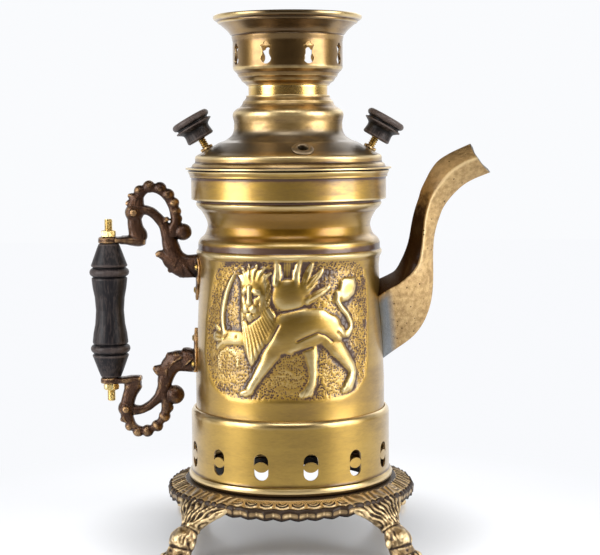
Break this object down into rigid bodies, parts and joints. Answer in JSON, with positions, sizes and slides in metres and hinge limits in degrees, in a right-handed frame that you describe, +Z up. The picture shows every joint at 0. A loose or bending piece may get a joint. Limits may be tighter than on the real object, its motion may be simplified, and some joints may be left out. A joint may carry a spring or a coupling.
{
  "type": "samovar",
  "caption": "Brass charcoal samovar: pierced fire box on a cast footed stand, water body with central flue, lift-off lid, teapot crown, pouring spout and wooden side handle.",
  "frame": {"origin": "on the floor, on the axis of the flue", "axes": "+Z up along the flue, +X towards the spout, -X towards the handle, -Y the front with the chased panel"},
  "size_m": [0.2816, 0.1756, 0.3646],
  "materials": {
    "antique_brass": "spun, brushed and patinated",
    "bright_brass": "polished",
    "cast_bronze": "cast, dark patina with rubbed highlights",
    "sand_cast_brass": "sand cast, filed",
    "dark_wood": "turned, dark stain, satin",
    "cast_iron": "as cast"
  },
  "bodies": {
    "root": {"stand": "cast_bronze", "burner_shell": "antique_brass", "stand_rivets": "antique_brass", "fire_grate": "cast_iron", "flue_tube": "bright_brass", "body_shell": "antique_brass", "reservoir_floor": "antique_brass", "spout": "sand_cast_brass", "handle_bracket_upper": "cast_bronze", "handle_bracket_lower": "cast_bronze", "bracket_rivets": "antique_brass", "handle_rod": "bright_brass", "rod_nuts": "bright_brass"},
    "lid": {"lid_shell": "antique_brass", "lid_skirt": "antique_brass", "vent_eyelet": "antique_brass", "knob_studs": "bright_brass", "knob_nuts": "bright_brass", "lid_knob_left": "dark_wood", "lid_knob_right": "dark_wood"},
    "crown": {"crown_cup": "antique_brass", "crown_spigot": "antique_brass"},
    "grip": {"handle_grip": "dark_wood"}
  },
  "joints": [
    {"name": "lid_lift", "type": "slide", "parent": "root", "child": "lid", "axis": [0, 0, 1], "range_m": [0, 0.08]},
    {"name": "crown_lift", "type": "slide", "parent": "lid", "child": "crown", "axis": [0, 0, 1], "range_m": [0, 0.04]},
    {"name": "grip_spin", "type": "hinge", "parent": "root", "child": "grip", "pos_m": [-0.1265, 0, 0.1604], "axis": [0, 0, 1], "continuous": true}
  ]
}
